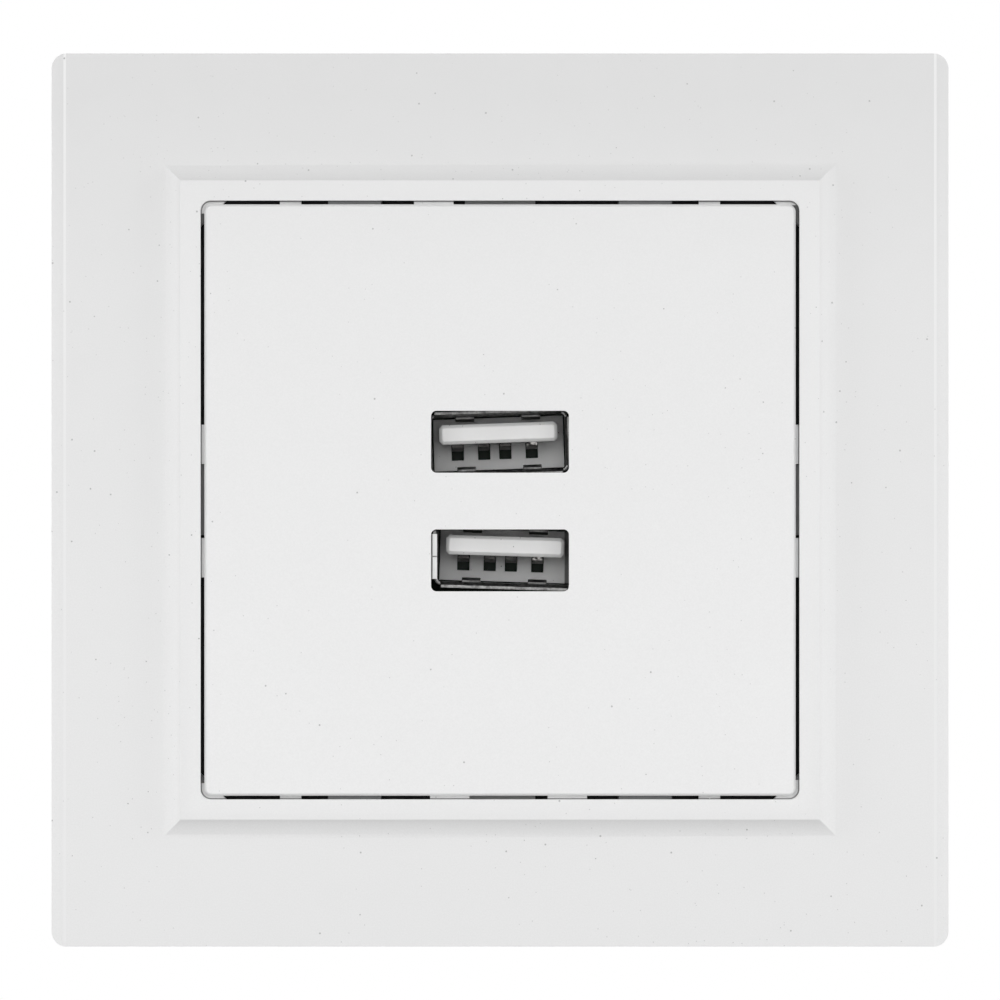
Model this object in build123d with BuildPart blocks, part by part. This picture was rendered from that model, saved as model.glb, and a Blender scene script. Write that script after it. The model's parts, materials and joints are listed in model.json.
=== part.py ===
"""USB wall socket: cover frame, centre plate with two ports, charger body and wall-box claws.

Lengths are millimetres. The wall is the plane y = 0, the front faces -Y and +Z is up.
A level is a distance in front of the wall, so a level inside the wall is negative.
"""
import os
from math import cos, radians, sin

from build123d import *

# Cover frame
frame_width = 84.0
frame_height = 83.6
band_level = 9.0
frame_corner = 1.4
frame_wall = 2.0
edge_facet_width = 1.0
edge_facet_drop = 0.3
rib_thick = 1.0
rib_height = 2.6
rib_offset = 17.0

# Raised rim round the opening
opening = 56.0
opening_corner = 0.95
rim_flat = 0.5
rim_crown_width = 1.4
rim_crown_drop = 0.16
cove_width = 1.85
cove_sag = 0.22
rim_rise = 1.2
rim_wall = 1.8
rim_depth = 5.7
undercut = 0.5

# Centre plate
seam = 0.35
plate_corner = 0.7
plate_thick = 1.6
plate_lip_thick = 0.7
plate_rebate = 1.5
plate_recess = 0.12
plate_edge_chamfer = 0.2
plate_rib_inset = 2.6
plate_rib_thick = 1.2
plate_rib_height = 2.4
ledge_thick = 1.2
ledge_reach = 1.0
ledge_width = 3.7
corner_ledge = 1.7
pad_width = 6.6
pad_drop = 1.4
edge_hook_offset = 19.6
edge_hook_width = 2.0
edge_hook_thick = 1.2
edge_hook_length = 2.2
leg_offset = 10.0
leg_width = 5.0
leg_thick = 1.6
leg_barb = 0.8
leg_barb_height = 1.4

# Ports
port_pitch = 11.1
port_drop = 0.1
port_width = 12.9
port_height = 5.8
port_corner = 0.5
port_set_back = 0.25
upper_tilt = 2.0
upper_shift_x = -0.13
upper_shift_z = -0.12
lower_tilt = -1.7
lower_shift_x = 0.46
lower_shift_z = 0.38
step_gap = 0.14
step_width = 0.42
step_height = 4.2
step_rise = 0.37
step_drop = 0.5
step_web = 0.4
step_split = 0.12

# Receptacle
shell_width = 13.1
shell_height = 5.72
shell_wall = 0.3
shell_corner = 0.6
shell_length = 11.0
shell_lip_length = 0.6
shell_lip_flare = 0.26
spring_offset = 3.1
spring_window_width = 2.3
spring_window_length = 5.6
spring_window_start = 1.2
spring_leaf_width = 1.75
spring_leaf_dip = 0.45
solder_tab_width = 1.6
tongue_width = 11.1
tongue_thick = 1.84
tongue_rise = 0.94
tongue_recess = 0.5
tongue_corner = 0.3
tongue_chamfer = 0.3
insulator_depth = 3.0
insulator_gap = 0.1
contact_outer = 3.5
contact_inner = 1.0
contact_shift = -0.4
contact_width = 1.0
contact_thick = 0.3
contact_hole = 1.15
contact_hole_drop = 0.75
contact_bow = 0.35
contact_tip = 0.8
pin_width = 0.6
pin_exit = 1.0

# Steel support frame
steel_size = 71.0
steel_corner = 3.0
steel_thick = 1.0
wall_screw_pitch = 60.0
wall_slot_length = 7.0
wall_slot_width = 4.2
steel_tab_offset = 13.6
steel_tab_width = 5.0
steel_tab_thick = 0.8

# Charger body
housing_width = 37.0
housing_height = 40.0
housing_depth = 22.4
housing_corner = 2.5
housing_wall = 1.5
flange_thick = 1.2
flange_side = 1.0
flange_end = 1.6
snap_width = 6.0
snap_reach = 0.9
snap_height = 2.4
boss_radius = 2.7
boss_pilot_radius = 1.15
rest_width = 10.0
rest_reach = 1.6
cover_thick = 1.8
cover_lip = 1.2
cover_lip_height = 2.0
vent_count = 5
vent_width = 1.4
vent_length = 10.0
vent_pitch = 3.2
vent_drop = 10.0
screw_radius = 1.0
screw_length = 8.0
screw_head_radius = 2.2
screw_head_height = 1.1

# Boards and their parts
board_thick = 1.6
top_row_inset = 5.5
bottom_row_inset = 6.5
right_row_inset = 7.0
core_width = 13.0
core_thick = 5.6
core_height = 11.0
core_yoke = 2.0
core_leg = 2.8
core_outer_leg = 2.4
core_gap = 0.9
bobbin_wall = 0.6
bobbin_flange = 0.7
bobbin_overhang = 2.4
input_cap_radius = 4.0
input_cap_height = 11.0
input_cap_z = 5.2
output_cap_radius = 3.15
output_cap_height = 9.0
output_cap_z = -2.6
can_chamfer = 0.4
film_cap_width = 3.0
film_cap_length = 6.8
film_cap_height = 7.4
film_cap_x = -5.0
choke_radius = 3.0
choke_height = 8.0
choke_z = -9.4
fuse_radius = 1.4
fuse_length = 6.0
fuse_x = -7.0
lead_width = 0.6
bridge_size = (4.6, 3.8, 2.4)
bridge_legs = 2
bridge_x = 2.4
switcher_size = (4.9, 3.9, 1.4)
switcher_legs = 4
switcher_x = 2.6
port_chip_size = (2.9, 1.6, 1.1)
port_chip_legs = 3
port_chip_x = 0.0
port_chip_inset = 3.6
chip_leg_width = 0.4
chip_leg_thick = 0.2
chip_leg_reach = 0.8
link_pins_count = 4
link_pitch = 2.54
link_pin_width = 0.64
link_strip_thick = 2.5
link_inset = 2.4

# Mains terminals
pole_pitch = 8.0
block_width = 16.0
block_depth = 11.0
block_base = 1.0
block_inset = 2.75
block_back_wall = 1.2
clamp_width = 5.0
clamp_depth = 4.4
clamp_wall = 0.8
clamp_top = 1.2
terminal_travel = 2.2
bar_width = 3.0
bar_thick = 0.8
bar_end_gap = 0.9
shoulder = 1.0
terminal_screw_radius = 1.3
terminal_head_radius = 2.3
terminal_head_height = 1.6
terminal_well = 2.2
driver_slot = 0.7
driver_slot_depth = 0.8

# Wall-box claws
claw_screw_place = 22.5
claw_screw_radius = 1.5
claw_screw_end = 3.4
claw_head_radius = 2.7
claw_head_height = 2.0
claw_thick = 1.5
claw_width = 12.0
claw_foot_width = 7.6
claw_foot_reach = 3.2
claw_arm_offset = 2.2
claw_front_level = -8.5
claw_lip = 2.8
claw_tooth_count = 5
claw_tooth_depth = 1.0
claw_nut_radius = 2.6
claw_nut_length = 7.0
claw_nut_gap = 2.4
ramp_offset = 5.0
ramp_thick = 1.2
ramp_near = 4.0
ramp_far = 16.0

# Clearances
slip = 0.15
clear = 0.3

# Levels and half sizes that follow from the sizes above
rim_level = band_level + rim_rise
rim_back = rim_level - rim_depth
plate_size = opening - 2 * seam
plate_front = rim_level - plate_recess
plate_back = plate_front - plate_thick
lip_level = plate_front - plate_lip_thick
port_front = plate_back - port_set_back
board_front = port_front - shell_length
board_back = board_front - board_thick
main_board_back = cover_lip_height - housing_depth
main_board_level = main_board_back + board_thick
flange_level = steel_thick + flange_thick
front_wall_back = flange_level - housing_wall
cover_back = -housing_depth - cover_thick
cavity_width = housing_width - 2 * housing_wall
cavity_height = housing_height - 2 * housing_wall
boss_x = cavity_width / 2 - boss_radius + slip
boss_z = cavity_height / 2 - boss_radius + slip
boss_places = ((-boss_x, boss_z), (boss_x, -boss_z))
boss_corners = ((-cavity_width / 2, cavity_height / 2), (cavity_width / 2, -cavity_height / 2))
boss_notch = 2 * boss_radius - slip + clear
leg_place = housing_height / 2 + flange_end + clear + leg_thick
port_board_height = cavity_height - 2 * rest_reach - 2 * clear
top_row = cavity_height / 2 - top_row_inset
bottom_row = bottom_row_inset - cavity_height / 2
right_row = cavity_width / 2 - right_row_inset
link_place = (link_inset - cavity_width / 2, 0)
link_hole = link_pin_width + 2 * slip
core_place = (link_place[0] + (link_strip_thick + core_width) / 2 + core_gap, 0)
fuse_place = (fuse_x, top_row)
upper_z = port_pitch / 2 - port_drop
lower_z = -port_pitch / 2 - port_drop


def level(distance):
    """Plane parallel to the wall, seen from the front, that far in front of it."""
    return Plane.XZ.offset(distance)


def plan(height=0.0):
    """Plane seen from above with its second direction pointing forward."""
    return Plane(origin=(0, 0, height), x_dir=(1, 0, 0), z_dir=(0, 0, -1))


def side(place=0.0, height=0.0):
    """Plane seen from the side: first direction up, second direction forward."""
    return Plane(origin=(place, 0, height), x_dir=(0, 0, 1), z_dir=(1, 0, 0))


def finish(builder, label):
    """Name a finished piece and write it out."""
    builder.part.label = label
    export_step(builder.part, f"parts/{label}.step")


os.makedirs("parts", exist_ok=True)

# Cover frame: a coved, mitred rim on a flat band, hollow behind, undercut round the opening
rim_edge = opening / 2 + rim_flat + rim_crown_width
cove_foot = rim_edge + cove_width
cove_rise = rim_rise - rim_crown_drop
cove_chord = (cove_width**2 + cove_rise**2) ** 0.5
cove_middle = (
    rim_edge + cove_width / 2 - cove_sag * cove_rise / cove_chord,
    band_level + cove_rise / 2 - cove_sag * cove_width / cove_chord,
)
ledge_places = [(0, -6.2), (90, -5.4), (90, 5.2), (180, -6.3), (180, 4.7), (270, -5.2), (270, 5.4)]

with BuildPart() as cover_frame:
    for section, combine in ((plan(), Mode.ADD), (side(), Mode.INTERSECT)):
        with BuildSketch(section):
            with BuildLine():
                flat = Line((0, rim_level), (opening / 2 + rim_flat, rim_level))
                crown = TangentArc(flat @ 1, (rim_edge, rim_level - rim_crown_drop), tangent=(1, 0))
                cove = ThreePointArc(crown @ 1, cove_middle, (cove_foot, band_level))
                Polyline(cove @ 1, (cove_foot, rim_back), (0, rim_back))
                mirror(about=Plane.YZ)
            make_face()
        extrude(amount=cove_foot, both=True, mode=combine)
    with BuildSketch(level(0)):
        RectangleRounded(frame_width, frame_height, frame_corner)
    extrude(amount=band_level)
    with BuildSketch(plan()):
        with BuildLine():
            Polyline(
                (frame_width / 2 - edge_facet_width, band_level),
                (frame_width / 2, band_level),
                (frame_width / 2, band_level - edge_facet_drop),
                close=True,
            )
        make_face()
        mirror(about=Plane.YZ)
    extrude(amount=frame_height, both=True, mode=Mode.SUBTRACT)
    with BuildSketch(level(0)):
        Rectangle(frame_width - 2 * frame_wall, frame_height - 2 * frame_wall)
    extrude(amount=rim_back, mode=Mode.SUBTRACT)
    with BuildSketch(level(rim_back)):
        Rectangle(frame_width - 2 * frame_wall, frame_height - 2 * frame_wall)
        Rectangle(opening + 2 * rim_wall, opening + 2 * rim_wall, mode=Mode.SUBTRACT)
    extrude(amount=band_level - frame_wall - rim_back, mode=Mode.SUBTRACT)
    with BuildSketch(level(band_level - frame_wall - rib_height)):
        with GridLocations(2 * rib_offset, 0, 2, 1):
            Rectangle(rib_thick, frame_height - frame_wall)
        with GridLocations(0, 2 * rib_offset, 1, 2):
            Rectangle(frame_width - frame_wall, rib_thick)
        Rectangle(opening + rim_wall, opening + rim_wall, mode=Mode.SUBTRACT)
    extrude(amount=rib_height + frame_wall / 2)
    with BuildSketch(level(0)):
        RectangleRounded(opening, opening, opening_corner)
    extrude(amount=rim_level, mode=Mode.SUBTRACT)
    with BuildSketch(level(0)):
        Rectangle(opening + 2 * undercut, opening + 2 * undercut)
    extrude(amount=lip_level, mode=Mode.SUBTRACT)
    with BuildSketch(level(lip_level - ledge_thick)):
        with GridLocations(opening, opening, 2, 2):
            Rectangle(2 * corner_ledge, 2 * corner_ledge, rotation=45)
        for turn, place in ledge_places:
            with Locations(Location((0, 0), turn)):
                with Locations((place, opening / 2)):
                    Rectangle(ledge_width, 2 * ledge_reach)
        Rectangle(opening + rim_wall, opening + rim_wall, mode=Mode.INTERSECT)
    extrude(amount=ledge_thick)
    with BuildSketch(level(lip_level - pad_drop - ledge_thick)):
        with GridLocations(opening, 0, 2, 1):
            Rectangle(2 * ledge_reach, pad_width)
        with GridLocations(0, opening, 1, 2):
            Rectangle(pad_width, 2 * ledge_reach)
    extrude(amount=ledge_thick)
finish(cover_frame, "cover_frame")

# Centre plate: a thin lip, two port cut-outs, a split strip in the lower one, a stiffening rib, edge hooks
# and four snap legs
with BuildPart() as centre_plate:
    with BuildSketch(level(plate_back)):
        RectangleRounded(plate_size, plate_size, plate_corner)
    extrude(amount=plate_thick)
    chamfer(centre_plate.faces().sort_by(Axis.Y)[0].edges(), plate_edge_chamfer)
    with BuildSketch(level(plate_back)):
        core_size = plate_size - 2 * plate_rebate
        Rectangle(plate_size, plate_size)
        Rectangle(core_size, core_size, mode=Mode.SUBTRACT)
    extrude(amount=plate_thick - plate_lip_thick, mode=Mode.SUBTRACT)
    with BuildSketch(level(plate_back)):
        with Locations((0, upper_z), (0, lower_z)):
            RectangleRounded(port_width, port_height, port_corner)
    extrude(amount=plate_thick, mode=Mode.SUBTRACT)
    with BuildSketch(level(plate_back)):
        with Locations(((step_gap + step_width - port_width) / 2, lower_z + step_rise)):
            Rectangle(step_gap + step_width, step_height)
    extrude(amount=step_web)
    with BuildSketch(level(plate_back + step_web)):
        with Locations((step_gap + (step_width - port_width) / 2, lower_z + step_rise)):
            Rectangle(step_width, step_height)
            Rectangle(step_width, step_split, mode=Mode.SUBTRACT)
    extrude(amount=plate_thick - step_drop - step_web)
    with BuildSketch(level(plate_back)):
        rib_size = plate_size - 2 * plate_rib_inset
        Rectangle(rib_size, rib_size)
        Rectangle(rib_size - 2 * plate_rib_thick, rib_size - 2 * plate_rib_thick, mode=Mode.SUBTRACT)
    extrude(amount=-plate_rib_height)
    with BuildSketch(level(lip_level)):
        with GridLocations(2 * edge_hook_offset, plate_size - edge_hook_thick, 2, 2):
            Rectangle(edge_hook_width, edge_hook_thick)
    extrude(amount=-edge_hook_length)
    with BuildSketch(level(lip_level - slip)):
        hook_span = opening + 2 * undercut - 2 * slip - edge_hook_thick
        with GridLocations(2 * edge_hook_offset, hook_span, 2, 2):
            Rectangle(edge_hook_width, edge_hook_thick)
    extrude(amount=-edge_hook_length / 2)
    for leg_x in (-leg_offset, leg_offset):
        with BuildSketch(side(leg_x)):
            with BuildLine():
                Polyline(
                    (leg_place - leg_thick, plate_back),
                    (leg_place, plate_back),
                    (leg_place, -slip),
                    (leg_place + leg_barb, -slip),
                    (leg_place, -slip - leg_barb_height),
                    (leg_place - leg_thick, -slip - leg_barb_height),
                    close=True,
                )
            make_face()
            mirror(about=Plane.YZ)
        extrude(amount=leg_width / 2, both=True)
finish(centre_plate, "centre_plate")

# Steel support frame: one pressed sheet with four upright tabs that stand behind the seam
steel_tab_place = opening / 2 + undercut - clear - steel_tab_thick

with BuildPart() as support_frame:
    with BuildSketch(level(0)) as support_sheet:
        Rectangle(steel_size, steel_size)
        chamfer(support_sheet.vertices(), steel_corner)
        Rectangle(housing_width + 2 * clear, housing_height + 2 * clear, mode=Mode.SUBTRACT)
        with GridLocations(wall_screw_pitch, 0, 2, 1):
            SlotOverall(wall_slot_length, wall_slot_width, mode=Mode.SUBTRACT)
        with GridLocations(0, wall_screw_pitch, 1, 2):
            SlotOverall(wall_slot_length, wall_slot_width, rotation=90, mode=Mode.SUBTRACT)
        with GridLocations(2 * claw_screw_place, 0, 2, 1):
            Circle(claw_screw_radius + clear, mode=Mode.SUBTRACT)
        with GridLocations(2 * leg_offset, 2 * leg_place - leg_thick + leg_barb, 2, 2):
            Rectangle(leg_width + 2 * clear, leg_thick + leg_barb + 2 * slip, mode=Mode.SUBTRACT)
    extrude(amount=steel_thick)
    with BuildSketch(level(0)):
        with GridLocations(2 * steel_tab_offset, 2 * steel_tab_place + steel_tab_thick, 2, 2):
            Rectangle(steel_tab_width, steel_tab_thick)
    extrude(amount=lip_level - clear)
finish(support_frame, "support_frame")


# Receptacles: a folded shell with flared lips, an insulator with its tongue, and four bowed contacts
def port_plane(depth, shift_x, shift_z, tilt):
    """Plane across a receptacle, at a depth behind its front edge."""
    return Plane(
        origin=(shift_x, depth - port_front, shift_z),
        x_dir=(cos(radians(tilt)), 0, sin(radians(tilt))),
        z_dir=(0, -1, 0),
    )


def port_side(place, shift_x, shift_z, tilt):
    """Plane along a receptacle: first direction up, second direction back from its front edge."""
    across = Vector(cos(radians(tilt)), 0, sin(radians(tilt)))
    return Plane(
        origin=Vector(shift_x, -port_front, shift_z) + across * place,
        x_dir=(-sin(radians(tilt)), 0, cos(radians(tilt))),
        z_dir=across * -1,
    )


def port_top(shift_x, shift_z, tilt):
    """Plane through a receptacle's middle: first direction across, second direction back."""
    return Plane(
        origin=(shift_x, -port_front, shift_z),
        x_dir=(cos(radians(tilt)), 0, sin(radians(tilt))),
        z_dir=(-sin(radians(tilt)), 0, cos(radians(tilt))),
    )


ports = {
    "upper": (upper_shift_x, upper_z + upper_shift_z, upper_tilt),
    "lower": (lower_shift_x, lower_z + lower_shift_z, lower_tilt),
}
shell_inner_width = shell_width - 2 * shell_wall
shell_inner_height = shell_height - 2 * shell_wall
spring_roof = shell_height / 2
spring_low = spring_roof - spring_leaf_dip
spring_root = spring_window_start + spring_window_length
spring_bend = spring_window_start + spring_window_length / 3
spring_tip = spring_window_start + clear
tongue_under = tongue_rise - tongue_thick / 2
hole_rise = tongue_under - contact_hole_drop
bow_back = shell_length - insulator_depth
bow_front = tongue_recess + contact_tip
contact_places = [
    contact_shift + place for place in (-contact_outer, -contact_inner, contact_inner, contact_outer)
]

for port_name, place in ports.items():
    with BuildPart() as usb_shell:
        with BuildSketch(port_plane(shell_length, *place)):
            RectangleRounded(shell_width, shell_height, shell_corner)
            RectangleRounded(
                shell_inner_width, shell_inner_height, shell_corner - shell_wall, mode=Mode.SUBTRACT
            )
        extrude(amount=shell_length - shell_lip_length)
        for lip_plane, edge, span in (
            (port_side(0, *place), shell_height / 2, shell_width - 2 * shell_corner),
            (port_top(*place), shell_width / 2, shell_height - 2 * shell_corner),
        ):
            with BuildSketch(lip_plane):
                with BuildLine():
                    Polyline(
                        (edge - shell_wall, shell_lip_length),
                        (edge, shell_lip_length),
                        (edge + shell_lip_flare, 0),
                        (edge + shell_lip_flare - shell_wall, 0),
                        close=True,
                    )
                make_face()
                mirror(about=Plane.YZ)
            extrude(amount=span / 2, both=True)
        for spring_x in (-spring_offset, spring_offset):
            with BuildSketch(port_side(spring_x, *place)):
                with Locations((0, spring_window_start + spring_window_length / 2)):
                    Rectangle(2 * shell_height, spring_window_length)
            extrude(amount=spring_window_width / 2, both=True, mode=Mode.SUBTRACT)
            with BuildSketch(port_side(spring_x, *place)):
                with BuildLine():
                    Polyline(
                        (spring_roof, spring_root),
                        (spring_low, spring_bend),
                        (spring_low + spring_leaf_dip / 2, spring_tip),
                        (spring_low + spring_leaf_dip / 2 - shell_wall, spring_tip),
                        (spring_low - shell_wall, spring_bend),
                        (spring_roof - shell_wall, spring_root),
                        close=True,
                    )
                make_face()
                mirror(about=Plane.YZ)
            extrude(amount=spring_leaf_width / 2, both=True)
        with BuildSketch(port_plane(shell_length, *place)):
            with GridLocations(shell_width - shell_wall, 0, 2, 1):
                Rectangle(shell_wall, solder_tab_width)
        extrude(amount=-board_thick - pin_exit)
    finish(usb_shell, f"{port_name}_usb_shell")

    with BuildPart() as usb_insulator:
        with BuildSketch(port_plane(shell_length, *place)):
            Rectangle(shell_inner_width - 2 * insulator_gap, shell_inner_height - 2 * insulator_gap)
        extrude(amount=insulator_depth)
        with BuildSketch(port_plane(shell_length - insulator_depth, *place)) as tongue:
            with Locations((0, tongue_rise)):
                Rectangle(tongue_width, tongue_thick)
            chamfer(tongue.vertices(), tongue_corner)
        extrude(amount=shell_length - insulator_depth - tongue_recess)
        tongue_end = usb_insulator.faces().sort_by(Axis.Y)[0]
        chamfer(tongue_end.edges(), tongue_chamfer)
        with BuildSketch(port_plane(shell_length, *place)):
            with Locations(*[(contact_x, hole_rise) for contact_x in contact_places]):
                Rectangle(contact_hole, 2 * contact_hole_drop)
        extrude(amount=insulator_depth, mode=Mode.SUBTRACT)
    finish(usb_insulator, f"{port_name}_usb_insulator")

    with BuildPart() as usb_contacts:
        for contact_x in contact_places:
            with BuildSketch(port_side(contact_x, *place)):
                with BuildLine():
                    Polyline(
                        (tongue_under, shell_length),
                        (tongue_under, bow_back),
                        (tongue_under - contact_bow, (bow_back + bow_front) / 2),
                        (tongue_under, bow_front),
                        (tongue_under - contact_thick, bow_front),
                        (tongue_under - contact_bow - contact_thick, (bow_back + bow_front) / 2),
                        (tongue_under - contact_thick, bow_back),
                        (tongue_under - contact_thick, shell_length),
                        close=True,
                    )
                make_face()
            extrude(amount=contact_width / 2, both=True)
            with BuildSketch(port_plane(shell_length, *place)):
                with Locations((contact_x, tongue_under - contact_thick / 2)):
                    Rectangle(pin_width, contact_thick)
            extrude(amount=-board_thick - pin_exit)
    finish(usb_contacts, f"{port_name}_usb_contacts")

# Charger body: flanged box through the support frame, with snaps, claw ramps and screw bosses
snap_level = -slip
port_window_width = shell_width + 2 * max(abs(upper_shift_x), abs(lower_shift_x)) + 2 * clear
port_window_height = port_pitch + shell_height + 4 * clear
ramp_rise = claw_screw_place + claw_arm_offset - clear - housing_width / 2

with BuildPart() as housing:
    with BuildSketch(level(-housing_depth)):
        RectangleRounded(housing_width, housing_height, housing_corner)
    extrude(amount=housing_depth + flange_level)
    with BuildSketch(level(steel_thick)):
        Rectangle(housing_width + 2 * flange_side, housing_height + 2 * flange_end)
    extrude(amount=flange_thick)
    with BuildSketch(level(-housing_depth)):
        Rectangle(cavity_width, cavity_height)
    extrude(amount=housing_depth + front_wall_back, mode=Mode.SUBTRACT)
    with BuildSketch(level(-housing_depth)):
        with Locations(*boss_places):
            Circle(boss_radius)
    extrude(amount=housing_depth + front_wall_back)
    with BuildSketch(level(-housing_depth)):
        with Locations(*boss_places):
            Circle(boss_pilot_radius)
    extrude(amount=screw_length, mode=Mode.SUBTRACT)
    with BuildSketch(level(board_front)):
        with GridLocations(cavity_width - rest_reach, 0, 2, 1):
            Rectangle(rest_reach, rest_width)
    extrude(amount=front_wall_back - board_front)
    with BuildSketch(level(main_board_level)):
        with GridLocations(0, cavity_height - rest_reach, 1, 2):
            Rectangle(rest_width, rest_reach)
    extrude(amount=front_wall_back - main_board_level)
    with BuildSketch(level(front_wall_back)):
        with Locations((0, -port_drop)):
            Rectangle(port_window_width, port_window_height)
    extrude(amount=housing_wall, mode=Mode.SUBTRACT)
    with BuildSketch(side()):
        with BuildLine():
            Polyline(
                (housing_height / 2, snap_level),
                (housing_height / 2 + snap_reach, snap_level),
                (housing_height / 2, snap_level - snap_height),
                close=True,
            )
        make_face()
        mirror(about=Plane.YZ)
    extrude(amount=snap_width / 2, both=True)
    for ramp_z in (-ramp_offset, ramp_offset):
        with BuildSketch(plan(ramp_z)):
            with BuildLine():
                Polyline(
                    (housing_width / 2, -ramp_near),
                    (housing_width / 2 + ramp_rise, -ramp_near),
                    (housing_width / 2, -ramp_far),
                    close=True,
                )
            make_face()
            mirror(about=Plane.YZ)
        extrude(amount=ramp_thick / 2, both=True)
finish(housing, "housing")

# Mains terminal block sizes, which the rear cover's window follows
clamp_opening = slip + clear + bar_thick + terminal_travel + clear
clamp_height = clamp_wall + clamp_opening + clamp_top
cage_height = clear + clamp_height + terminal_travel + clear
block_height = block_base + cage_height + shoulder + terminal_well
block_bottom = housing_height / 2 - block_inset - block_height
cage_floor = block_bottom + block_base
cage_roof = cage_floor + cage_height
clamp_bottom = cage_floor + clear
block_middle = block_bottom + block_height / 2
block_back = main_board_back - block_depth
clamp_level = block_back + block_back_wall + clear + clamp_depth / 2
bar_top = clamp_bottom + clamp_wall + clamp_opening - slip - clear
wire_hole_height = bar_top - bar_thick - clamp_bottom - clamp_wall
pole_places = {"left": -pole_pitch / 2, "right": pole_pitch / 2}

# Rear cover: a lipped lid that holds the main board, with vents and the terminal window
with BuildPart() as rear_cover:
    with BuildSketch(level(cover_back)):
        RectangleRounded(housing_width, housing_height, housing_corner)
    extrude(amount=cover_thick)
    with BuildSketch(level(-housing_depth)):
        Rectangle(cavity_width - 2 * slip, cavity_height - 2 * slip)
        Rectangle(
            cavity_width - 2 * slip - 2 * cover_lip,
            cavity_height - 2 * slip - 2 * cover_lip,
            mode=Mode.SUBTRACT,
        )
        with Locations(*boss_corners):
            Rectangle(2 * boss_notch, 2 * boss_notch, mode=Mode.SUBTRACT)
    extrude(amount=cover_lip_height)
    with BuildSketch(level(cover_back)):
        with Locations((0, block_middle)):
            Rectangle(block_width + 2 * clear, block_height + 2 * clear)
        with Locations((0, -vent_drop)):
            with GridLocations(vent_pitch, 0, vent_count, 1):
                Rectangle(vent_width, vent_length)
        with Locations(*boss_places):
            Circle(screw_radius + slip)
    extrude(amount=main_board_back - cover_back, mode=Mode.SUBTRACT)
    with BuildSketch(level(cover_back)):
        with Locations(*boss_places):
            Circle(screw_head_radius + clear)
    extrude(amount=screw_head_height, mode=Mode.SUBTRACT)
finish(rear_cover, "rear_cover")

with BuildPart() as housing_screws:
    with BuildSketch(level(cover_back)):
        with Locations(*boss_places):
            Circle(screw_head_radius)
    extrude(amount=screw_head_height)
    with BuildSketch(level(cover_back + screw_head_height)):
        with Locations(*boss_places):
            Circle(screw_radius)
    extrude(amount=screw_length)
    with BuildSketch(level(cover_back)):
        with Locations(*boss_places):
            Rectangle(screw_head_radius, driver_slot)
            Rectangle(driver_slot, screw_head_radius)
    extrude(amount=screw_head_height / 2, mode=Mode.SUBTRACT)
finish(housing_screws, "housing_screws")

# Circuit boards, notched round the bosses and pierced for what passes through them
with BuildPart() as usb_board:
    with BuildSketch(level(board_back)):
        Rectangle(cavity_width - 2 * clear, port_board_height)
        with Locations(*boss_corners):
            Rectangle(2 * boss_notch, 2 * boss_notch, mode=Mode.SUBTRACT)
        with Locations(link_place):
            with GridLocations(0, link_pitch, 1, link_pins_count):
                Rectangle(link_hole, link_hole, mode=Mode.SUBTRACT)
    extrude(amount=board_thick)
    for place in ports.values():
        with BuildSketch(port_plane(shell_length, *place)):
            with GridLocations(shell_width - shell_wall, 0, 2, 1):
                Rectangle(shell_wall + 2 * slip, solder_tab_width + 2 * slip)
            with Locations(*[(x, tongue_under - contact_thick / 2) for x in contact_places]):
                Rectangle(pin_width + 2 * slip, contact_thick + 2 * slip)
        extrude(amount=-board_thick, mode=Mode.SUBTRACT)
finish(usb_board, "usb_board")

with BuildPart() as main_board:
    with BuildSketch(level(main_board_back)):
        Rectangle(cavity_width - 2 * clear, cavity_height - 2 * clear)
        with Locations(*boss_corners):
            Rectangle(2 * boss_notch, 2 * boss_notch, mode=Mode.SUBTRACT)
        with Locations(link_place):
            with GridLocations(0, link_pitch, 1, link_pins_count):
                Rectangle(link_hole, link_hole, mode=Mode.SUBTRACT)
        with Locations((0, bar_top - bar_thick / 2)):
            with GridLocations(pole_pitch, 0, 2, 1):
                Rectangle(bar_width + 2 * slip, bar_thick + 2 * slip, mode=Mode.SUBTRACT)
    extrude(amount=board_thick)
finish(main_board, "main_board")

# Transformer: ferrite core, bobbin round its middle leg, and the winding
core_x, core_z = core_place
core_window = (core_width - core_leg) / 2 - core_outer_leg
bobbin_start = main_board_level + core_yoke + slip
bobbin_length = core_height - 2 * core_yoke - 2 * slip
bobbin_width = core_leg + 2 * core_window - 2 * slip
bobbin_span = core_thick + 2 * bobbin_overhang
tube_wall = 2 * (slip + bobbin_wall)

with BuildPart() as transformer_core:
    with BuildSketch(plan(core_z)):
        with Locations((core_x, main_board_level + core_height / 2)):
            Rectangle(core_width, core_height)
            with GridLocations(core_leg + core_window, 0, 2, 1):
                Rectangle(core_window, core_height - 2 * core_yoke, mode=Mode.SUBTRACT)
    extrude(amount=core_thick / 2, both=True)
finish(transformer_core, "transformer_core")

with BuildPart() as transformer_bobbin:
    with BuildSketch(level(bobbin_start)):
        with Locations(core_place):
            Rectangle(core_leg + tube_wall, core_thick + tube_wall)
    extrude(amount=bobbin_length)
    for flange_start in (bobbin_start, bobbin_start + bobbin_length - bobbin_flange):
        with BuildSketch(level(flange_start)):
            with Locations(core_place):
                Rectangle(bobbin_width, bobbin_span)
        extrude(amount=bobbin_flange)
    with BuildSketch(level(main_board_level)):
        with Locations(core_place):
            Rectangle(bobbin_width, bobbin_span)
            Rectangle(bobbin_width, core_thick + 2 * slip, mode=Mode.SUBTRACT)
    extrude(amount=core_yoke + slip)
    with BuildSketch(level(bobbin_start)):
        with Locations(core_place):
            Rectangle(core_leg + 2 * slip, core_thick + 2 * slip)
    extrude(amount=bobbin_length, mode=Mode.SUBTRACT)
finish(transformer_bobbin, "transformer_bobbin")

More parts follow.
